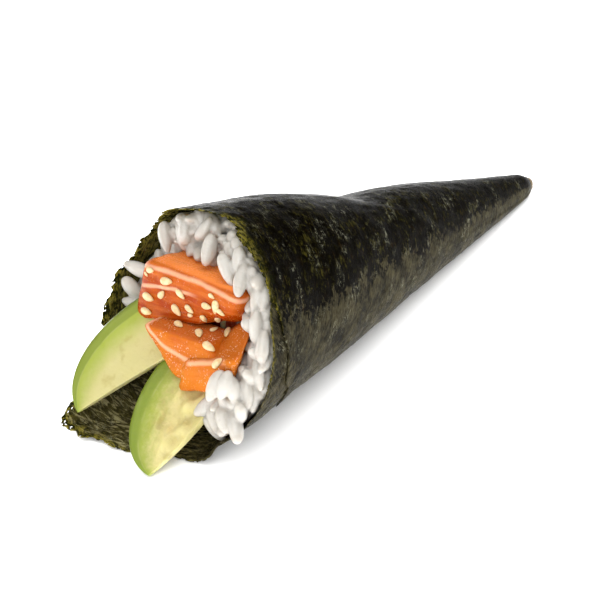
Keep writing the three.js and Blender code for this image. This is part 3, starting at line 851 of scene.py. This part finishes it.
# Grains with a place of their own: the pixels where their two ends show in the view, and
# the heights of those ends over the mouth plane.
PLACED_GRAINS = [
    ((164, 223), (168, 251), -11, -9), ((182, 216), (184, 250), -12, -9),
    ((200, 212), (203, 235), -12, -11), ((213, 230), (204, 270), -9, -3.5),
    ((209, 216), (217, 232), -13.5, -11), ((235, 240), (246, 262), -9, -7),
    ((222, 256), (231, 283), -8, -4), ((246, 264), (238, 296), -6, -2),
    ((259, 285), (254, 318), -4, -1), ((268, 322), (265, 350), -2, -1), ((259, 340), (252, 368), -1, 1),
    ((246, 355), (239, 383), -1, 1), ((223, 371), (208, 401), 1, 3),
    ((265, 363), (266, 390), -3, -3), ((245, 377), (247, 408), 3, 4),
    ((217, 395), (197, 413), 2, 4), ((212, 407), (217, 432), 3, 4),
    ((232, 408), (238, 445), 4, 6), ((246, 412), (228, 424), -1, 2),
    ((257, 384), (253, 410), 1, 2), ((229, 378), (236, 402), 0, 0), ((229, 372), (220, 398), 1, 2),
    ((207, 420), (221, 436), 0, 1),
]

# Grains that show past the end of the salmon, at these heights whatever is in front.
TUCKED_GRAINS = [
    ((129, 265), (147, 273), -8, -10), ((127, 282), (141, 298), -7, -9), ((129, 302), (145, 307), -7, -9),
]
ON_TOP = 1.2             # how far a placed grain's middle line lies off what carries it
STEEPEST = 2.5           # how much further off one end may lie than the other


def placed_grains(carriers):
    """Middles and headings of the grains in the lists, the first in front of what shows there."""
    ends = []
    for first, last, first_height, last_height in PLACED_GRAINS:
        places = in_mouth(first, first_height), in_mouth(last, last_height)
        lines = [MOUTH @ place - EYE for place in places]
        reaches = [min(line.length, distance_to(carriers, line) - ON_TOP) for line in lines]
        furthest = min(reaches) + STEEPEST
        ends.append([
            TO_MOUTH @ (EYE + line.normalized() * min(reach, furthest))
            for line, reach in zip(lines, reaches)
        ])
    for first, last, first_height, last_height in TUCKED_GRAINS:
        ends.append([in_mouth(first, first_height), in_mouth(last, last_height)])
    return [(a + b) / 2 for a, b in ends], [(b - a).normalized() for a, b in ends]


def distance_to(trees, line):
    """How far away the first of some surfaces is along a line of sight."""
    hits = [tree.ray_cast(EYE, line) for tree in trees]
    return min((hit[3] for hit in hits if hit[0]), default=math.inf)


def loose_grains(fillings, core):
    """Middles and headings of grains strewn over the rice's face, clear of the fillings."""
    draw = random.Random(5)
    line = INTO_MOUTH @ GAZE
    across = INTO_MOUTH @ VIEW_RIGHT
    hang = line.cross(across)
    middles, headings = [], []
    for number in range(STREWN):
        share = math.sqrt((number + 0.5) / STREWN) * STREWN_REACH
        x, y = across_mouth(share, number * GOLDEN_TURN)
        middle = Vector((x, y, rice_cap(x, y) + draw.uniform(-2.0, 1.2)))
        heading = hang + across * draw.gauss(0, 0.4) + line * draw.gauss(0, 0.3)
        if not hides(MOUTH @ middle, fillings, core):
            middles.append(middle)
            headings.append(heading.normalized())
    return middles, headings


def hides(point, fillings, core):
    """Whether a grain here would lie in a filling, or in front of one."""
    start = point - GAZE * MOUTH_RADIUS
    far = 3 * MOUTH_RADIUS
    packed = core.ray_cast(start, GAZE, far)[3] or far
    seen = [tree.ray_cast(start, GAZE, packed)[0] for tree in fillings]
    return any(seen) or any(is_inside(tree, point) for tree in fillings)


def is_inside(tree, point):
    hit, normal, _, _ = tree.find_nearest(point)
    return (point - hit).dot(normal) < 0


def pushed_off(bead, fillings):
    """How far the fillings push a bead away, in the mouth frame."""
    push = Vector((0, 0, 0))
    point = MOUTH @ bead
    for tree in fillings:
        hit, normal, _, distance = tree.find_nearest(point, BEAD_RADIUS + FILLING_REACH)
        if hit is None:
            continue
        outside = (point - hit).dot(normal) > 0
        depth = BEAD_RADIUS - (distance if outside else -distance)
        if depth > 0:
            away = (point - hit).normalized() if outside else normal
            push += INTO_MOUTH @ away * min(depth, FILLING_DEEPEST) * FILLING_SHARE
    return push


def settle(middles, headings, fixed, fillings):
    """Pushes overlapping grains apart, off the fillings and inside the sheet.

    The first `fixed` grains stay where they are.
    """
    count = len(middles)
    spots = np.array([tuple(middle) for middle in middles])
    axes = np.array([tuple(heading) for heading in headings])
    loose = (np.arange(count) >= fixed)[:, None]
    home = spots[:, 2].copy()
    reach = GRAIN_SIZE[0] / 2 - BEAD_RADIUS
    steps = np.linspace(-reach, reach, BEADS)
    owner = np.repeat(np.arange(count), BEADS)
    for _ in range(ROUNDS):
        beads = (spots[:, None, :] + axes[:, None, :] * steps[None, :, None]).reshape(-1, 3)
        gaps = beads[:, None, :] - beads[None, :, :]
        apart = np.sqrt((gaps ** 2).sum(-1)) + 1e-6
        touch = (apart < 2 * BEAD_RADIUS) & (owner[:, None] != owner[None, :])
        shares = np.where(touch, (2 * BEAD_RADIUS - apart) / apart, 0)
        push = (shares[..., None] * gaps).sum(1) * OVERLAP_SHARE
        for i, bead in enumerate(beads):
            push[i] += np.array(pushed_off(Vector(bead), fillings))
            across = math.hypot(bead[0], bead[1])
            turn = math.degrees(math.atan2(bead[1], -bead[0]))
            too_far = across - (wall_radius(bead[2], turn) - WALL_CLEARANCE)
            if too_far > 0:
                push[i, :2] -= bead[:2] / across * too_far * WALL_SHARE
        push = push.reshape(count, BEADS, 3)
        spots += push.mean(1) * loose
        axes += (push * steps[None, :, None]).sum(1) / (steps ** 2).sum() * loose
        axes /= np.linalg.norm(axes, axis=1)[:, None]
        spots[:, 2] += (home - spots[:, 2]) * HEIGHT_SHARE
    return [Vector(spot) for spot in spots], [Vector(axis) for axis in axes]


def rice_grains(finish, fillings, core):
    """The grains that show, stuck together where they touch."""
    draw = random.Random(9)
    middles, headings = placed_grains(fillings + [core])
    fixed = len(middles)
    more_middles, more_headings = loose_grains(fillings, core)
    middles, headings = settle(middles + more_middles, headings + more_headings, fixed, fillings)
    round_grain = bmesh.new()
    bmesh.ops.create_uvsphere(round_grain, u_segments=14, v_segments=11, radius=1)
    shaped = bpy.data.meshes.new("grain")
    heap = bmesh.new()
    beads = KDTree(len(middles) * BEADS)
    for number, (middle, heading) in enumerate(zip(middles, headings)):
        plump = PLUMPER if number < fixed else 1
        half = Vector([size / 2 * plump * draw.uniform(0.88, 1.08) for size in GRAIN_SIZE])
        bend = draw.uniform(-0.4, 0.4)
        blunt = draw.uniform(-0.25, 0.25)
        lie = heading.to_track_quat("X", "Z") @ Quaternion((1, 0, 0), draw.random() * math.tau)
        grain = round_grain.copy()
        for vert in grain.verts:
            # The sphere's poles become the two ends of the grain.
            run, side, rise = vert.co.z, vert.co.x, vert.co.y
            thin = (1 + blunt * run) / max(0.2, 1 - run * run) ** 0.03
            bowed = side * thin * half.y + bend * (1 - run * run)
            local = Vector((run * half.x, bowed, rise * thin * half.z))
            vert.co = MOUTH @ (middle + lie @ local)
        grain.to_mesh(shaped)
        grain.free()
        heap.from_mesh(shaped)
        for bead in range(BEADS):
            run = (bead + 0.5) / BEADS * 2 - 1
            beads.insert(MOUTH @ (middle + heading * run * half.x), number * BEADS + bead)
    round_grain.free()
    bpy.data.meshes.remove(shaped)
    beads.balance()
    fused = stuck_together(heap)
    kernel = fused.verts.layers.float_vector.new("kernel")
    tones = [draw.random() for _ in middles]
    for vert in fused.verts:
        _, index, _ = beads.find(vert.co)
        vert[kernel] = Vector((index % BEADS / (BEADS - 1) * 2 - 1, tones[index // BEADS], 0))
    return finished("rice_grains", fused, [finish], ["rice"])


def stuck_together(bm):
    """One closed skin over shapes that overlap, with soft creases between them."""
    loose = shown("loose", bm)
    skin = loose.modifiers.new("skin", "REMESH")
    skin.mode = "VOXEL"
    skin.voxel_size = FUSED_STEP
    fused = bmesh.new()
    fused.from_object(loose, bpy.context.evaluated_depsgraph_get())
    mesh = loose.data
    bpy.data.objects.remove(loose)
    bpy.data.meshes.remove(mesh)
    bmesh.ops.smooth_vert(
        fused, verts=fused.verts, factor=0.5, use_axis_x=True, use_axis_y=True, use_axis_z=True,
    )
    return fused


# The pocket between the pieces of salmon, where the rice behind them is painted dark red: painted
# shade that stands for salmon in shadow. The pixel where it shows in the view, its height over the
# mouth plane, and its reach.
POCKET, POCKET_HEIGHT, POCKET_REACH = (228, 324), -10, 7
PAINTED_GAP_SHADE = (0.30, 0.026, 0.005)


def rice_finish(name, light, shade):
    finish = Finish(
        name, subsurface_weight=0.8, subsurface_scale=0.003, subsurface_radius=(1, 0.9, 0.8),
        coat_weight=0.3, coat_roughness=0.12,
    )
    place = finish.place()
    run, tone, _ = finish.parts(finish.stored("kernel"))
    cloud = finish.noise(place, 3)
    small = finish.noise(place, 0.8)
    tint = abs(run).ease(0.3, 1.0) * 0.4 + tone * 0.4 + (cloud - 0.5) * 0.4
    pocket = MOUTH @ in_mouth(POCKET, POCKET_HEIGHT)
    away = finish.node("ShaderNodeVectorMath", {"operation": "DISTANCE"}, {0: place, 1: pocket}, "Value")
    # Painted shade: dark red on the rice in the pocket between the pieces of salmon.
    gap_shade = (away + cloud * 2).ease(POCKET_REACH + 1, POCKET_REACH - 1)
    finish.feed("Base Color", finish.blend(gap_shade, finish.blend(tint, light, shade), PAINTED_GAP_SHADE))
    finish.feed("Roughness", cloud * 0.2 + 0.22)
    finish.feed("Normal", finish.bump(small, 0.1, under=finish.bump(cloud, 0.3)))
    return finish


# ---- Sesame --------------------------------------------------------------------------

SEED_LENGTH, SEED_WIDTH, SEED_HEIGHT = 3.4, 1.85, 1.1
SEED_TAPER = 0.32
SEED_DIP = 0.25          # how deep a seed lies in the flesh
HULL = (0.78, 0.62, 0.36), (0.60, 0.38, 0.14)    # light and toasted

# The pixel where a seed shows in the view, its size, and the slant it shows, in degrees.
SEEDS = [
    ((151, 270), 0.9, 15), ((147, 274), 0.45, 60), ((167, 281), 1.15, 8), ((149, 297), 1.2, 30),
    ((162, 294), 0.95, -50), ((181, 294), 0.95, 50), ((147, 311), 1.1, 20), ((177, 310), 1.1, 55),
    ((190, 309), 0.95, 45), ((191, 315), 0.6, 10), ((179, 325), 1.0, 40), ((207, 306), 0.95, 20),
    ((216, 307), 1.15, 95), ((221, 312), 0.8, 40), ((218, 319), 0.9, 75), ((223, 325), 0.95, 95),
    ((214, 330), 0.7, -20), ((228, 333), 1.15, 105), ((199, 334), 1.1, 80), ((204, 318), 0.85, 50),
    ((212, 296), 0.6, 40), ((209, 347), 1.1, 35), ((218, 363), 1.15, -40),
]


def seed_places(carriers):
    """Where the seeds lie on the fillings, as the axes of their own little frames."""
    for pixel, size, slant in SEEDS:
        line = sight(pixel)
        hits = [tree.ray_cast(EYE, line) for tree in carriers]
        spot, up, _, _ = min((hit for hit in hits if hit[0]), key=lambda hit: hit[3])
        right = line.cross(ZENITH).normalized()
        down = line.cross(right).normalized()
        along_seed = right * math.cos(math.radians(slant)) + down * math.sin(math.radians(slant))
        along_seed = (along_seed - line * along_seed.dot(up) / line.dot(up)).normalized()
        turn = Matrix((along_seed, up.cross(along_seed), up)).transposed()
        yield spot + up * (SEED_HEIGHT / 2 - SEED_DIP), turn, size


def sesame(finish, carriers):
    seeds = bmesh.new()
    hull = seeds.verts.layers.float_vector.new("hull")
    for place, turn, size in seed_places(carriers):
        made = bmesh.ops.create_uvsphere(seeds, u_segments=10, v_segments=9, radius=1)
        for vert in made["verts"]:
            run, side, rise = vert.co.z, vert.co.x, vert.co.y
            vert[hull] = Vector((run, size, rise))
            drop = 1 - SEED_TAPER * run
            local = Vector((run * SEED_LENGTH, side * drop * SEED_WIDTH, rise * drop * SEED_HEIGHT)) / 2
            vert.co = place + turn @ (local * size)
    return finished("sesame", seeds, [finish], list(SALMON))


def sesame_finish():
    finish = Finish("sesame", roughness=0.4, subsurface_weight=0.3, subsurface_scale=0.001)
    run, _, _ = finish.parts(finish.stored("hull"))
    cloud = finish.noise(finish.place(), 0.9)
    tone = run.ease(0.2, 1.0) * 0.5 + cloud.ease(0.4, 0.7) * 0.5
    finish.feed("Base Color", finish.blend(tone, *HULL))
    finish.feed("Normal", finish.bump(cloud, 0.1))
    return finish


# ---- Floor and light, in metres ------------------------------------------------------

FLOOR_REACH = 3
ROOM_LIGHT = 0.025


def floor():
    bm = bmesh.new()
    bmesh.ops.create_grid(bm, x_segments=1, y_segments=1, size=FLOOR_REACH)
    finish = Finish("floor", base_color=(0.9, 0.9, 0.9, 1), roughness=0.6)
    piece = shown("floor", bm)
    piece.data.materials.append(finish.material)
    return piece


def softbox(name, direction, distance, size, power, only=None):
    """A square area light, `distance` out from the roll, for everything or for one object."""
    data = bpy.data.lights.new(name, "AREA")
    data.shape = "SQUARE"
    data.size = size
    data.energy = power
    light = added(name, data)
    away = Vector(direction).normalized()
    light.location = away * distance
    light.rotation_euler = (-away).to_track_quat("-Z", "Y").to_euler()
    if only:
        lit = bpy.data.collections.new(name)
        lit.objects.link(only)
        light.light_linking.receiver_collection = lit


def studio():
    scene = bpy.context.scene
    scene.view_settings.view_transform = "Standard"
    world = bpy.data.worlds.new("studio")
    world.use_nodes = True
    background = world.node_tree.nodes["Background"].inputs
    background["Color"].default_value = (1, 1, 1, 1)
    background["Strength"].default_value = ROOM_LIGHT
    scene.world = world
    softbox("overhead", (-0.1, 0.05, 1.0), distance=1.7, size=2.4, power=38)
    softbox("front", (-1.0, -0.35, 0.6), distance=1.6, size=0.9, power=11)
    softbox("floor_light", (0, 0, 1.0), distance=1.7, size=9, power=600, only=floor())


# ---- Assembly ------------------------------------------------------------------------

place_camera()
studio()
seaweed_sheet([
    seaweed_finish(
        "seaweed_outside", dark=(0.0022, 0.0016, 0.0006), olive=(0.050, 0.044, 0.007),
        spread=(1.07, 1.28), thin=(1.2, 0.3), rough=0.1, creases_and_glints=0.1,
    ),
    seaweed_finish(
        "seaweed_inside", dark=(0.019, 0.017, 0.006), olive=(0.22, 0.19, 0.042),
        spread=(0.94, 1.2), thin=(1.8, 0.3), rough=0.3, creases_and_glints=0.8,
    ),
])
fillings = [salmon_block(name, salmon_finish(name)) for name in SALMON]
fillings += [avocado_slice(name, avocado_finish(name)) for name in AVOCADO]
# The core is painted a little darker than the grains: painted shade for the gaps between them.
core = rice_core(rice_finish("rice_core", (0.54, 0.495, 0.44), (0.48, 0.435, 0.38)))
trees = [surface_of(piece) for piece in fillings]
grain_finish = rice_finish("rice_grain", (0.56, 0.54, 0.495), (0.48, 0.445, 0.395))
grains = rice_grains(grain_finish, trees, surface_of(core))
sesame(sesame_finish(), trees + [surface_of(grains)])
